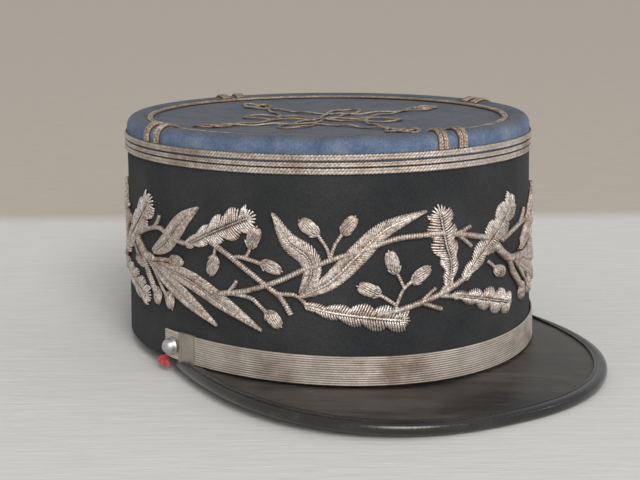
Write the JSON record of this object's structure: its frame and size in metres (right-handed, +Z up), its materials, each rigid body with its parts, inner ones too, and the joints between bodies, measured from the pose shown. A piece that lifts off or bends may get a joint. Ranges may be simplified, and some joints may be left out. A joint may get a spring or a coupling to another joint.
{
  "type": "kepi cap",
  "caption": "Stiff oval kepi with a dark band, pale blue top, silver braid and knot, embroidered oak and olive garland, chin strap and leather visor.",
  "frame": {"origin": "middle of the cap's box, on the surface it stands on", "axes": "+Z up, -Y the front of the cap where the visor is, +X the wearer's left; the cap leans back 1.9 degrees as it stands"},
  "size_m": [0.1794, 0.2426, 0.1046],
  "materials": {
    "dark_cloth": "fulled wool cloth, near black, slightly fuzzy",
    "blue_cloth": "fulled wool cloth, horizon blue, matt",
    "silver_braid": "woven silver wire braid, worn and tarnished",
    "bullion": "coiled silver wire embroidery, tarnished",
    "strap_lace": "ribbed silver lace, tarnished brown in places",
    "button_metal": "satin silvered",
    "visor_leather": "black patent leather, dusty and lightly scratched",
    "binding_leather": "black patent leather binding, glossy",
    "red_thread": "red thread"
  },
  "bodies": {
    "root": {"crown_band": "dark_cloth", "crown_rim": "blue_cloth", "crown_disc": "blue_cloth", "seam_braid_upper": "silver_braid", "seam_braid_middle": "silver_braid", "seam_braid_lower": "silver_braid", "ring_braid": "silver_braid", "riser_front_a": "silver_braid", "riser_front_b": "silver_braid", "riser_left_a": "silver_braid", "riser_left_b": "silver_braid", "riser_back_a": "silver_braid", "riser_back_b": "silver_braid", "riser_right_a": "silver_braid", "riser_right_b": "silver_braid", "crown_knot": "silver_braid", "garland": "bullion", "chin_strap": "strap_lace", "strap_slide_left": "strap_lace", "strap_slide_right": "strap_lace", "button_left": "button_metal", "button_right": "button_metal", "visor": "visor_leather", "visor_binding": "binding_leather", "thread_tuft": "red_thread"}
  },
  "joints": []
}
